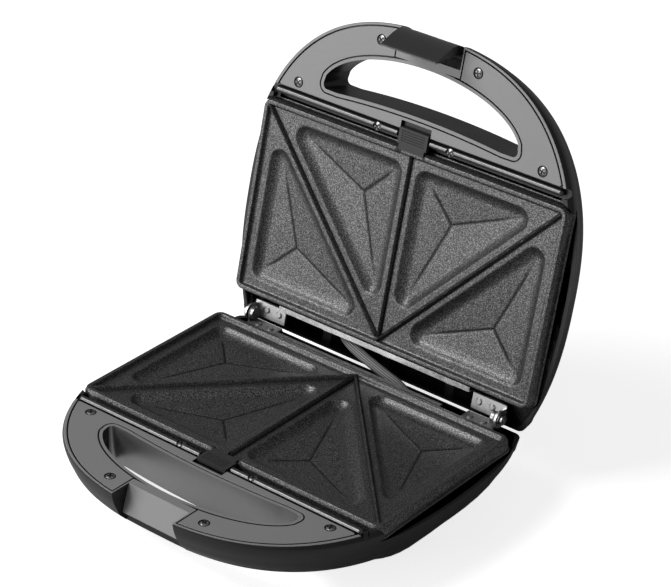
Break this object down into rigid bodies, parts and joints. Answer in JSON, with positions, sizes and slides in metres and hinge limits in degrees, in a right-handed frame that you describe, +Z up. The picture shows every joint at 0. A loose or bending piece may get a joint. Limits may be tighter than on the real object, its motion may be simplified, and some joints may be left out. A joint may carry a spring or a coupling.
{
  "type": "sandwich toaster",
  "caption": "Countertop sandwich toaster with coated triangular-pocket plates, bowed handles with a finger hole and a hinged lid that latches at the front, shown open.",
  "frame": {"origin": "middle of the overall box, on the counter under the rubber feet, with the lid open", "axes": "+X to the right seen from the handle, +Y from the handle towards the hinge, +Z up"},
  "size_m": [0.24, 0.2742, 0.2498],
  "materials": {
    "black_moulding": "satin",
    "trim": "satin",
    "plate_coating": "semi-gloss non-stick coating",
    "bright_steel": "polished",
    "sheet_steel": "plain",
    "screws": "zinc plated",
    "rubber": "matt",
    "element": "oxidised",
    "ceramic": "matt",
    "latch": "glossy",
    "sleeve": "braided",
    "lens": "clear red"
  },
  "bodies": {
    "base": {"base_housing": "black_moulding", "bottom_cover": "black_moulding", "base_feet": "rubber", "cover_screws": "screws", "base_handle_trim": "trim", "base_trim_screws": "screws", "base_front_rail": "bright_steel", "base_rail_screws": "screws", "lower_plate": "plate_coating", "lower_reflector": "sheet_steel", "lower_heating_element": "element", "lower_element_clips": "sheet_steel", "thermostat": "ceramic", "thermal_fuse": "sheet_steel", "terminal_block": "ceramic", "cord_gland": "rubber", "base_hinge_leaves": "sheet_steel", "base_hinge_rivets": "sheet_steel", "hinge_pivots": "screws", "base_rear_strip": "bright_steel", "wire_sleeve": "sleeve"},
    "lid": {"lid_housing": "black_moulding", "lid_handle_trim": "trim", "lid_trim_screws": "screws", "lid_front_rail": "bright_steel", "lid_rail_screws": "screws", "upper_plate": "plate_coating", "upper_reflector": "sheet_steel", "upper_heating_element": "element", "upper_element_clips": "sheet_steel", "reflector_screws": "screws", "lid_hinge_leaves": "sheet_steel", "lid_hinge_rivets": "sheet_steel", "lid_rear_strip": "bright_steel", "indicator_lenses": "lens", "indicator_lamps": "lens", "latch_pin": "screws", "latch_spring": "screws"},
    "latch": {"latch_clip": "latch"},
    "lower_clip": {"lower_release_clip": "black_moulding"},
    "upper_clip": {"upper_release_clip": "black_moulding"}
  },
  "joints": [
    {"name": "lid_hinge", "type": "hinge", "parent": "base", "child": "lid", "pos_m": [0, 0.06915, 0.047], "axis": [1, 0, 0], "range_deg": [0, 102], "deforming": ["wire_sleeve"]},
    {"name": "latch_pivot", "type": "hinge", "parent": "lid", "child": "latch", "pos_m": [0, 0.12253, 0.24043], "axis": [-1, 0, 0], "range_deg": [0, 35], "stiffness_Nm_per_rad": 0.06},
    {"name": "lower_clip_slide", "type": "slide", "parent": "base", "child": "lower_clip", "axis": [0, -1, 0], "range_m": [0, 0.003]},
    {"name": "upper_clip_slide", "type": "slide", "parent": "lid", "child": "upper_clip", "axis": [0, 0.2079, 0.9781], "range_m": [0, 0.003]}
  ]
}
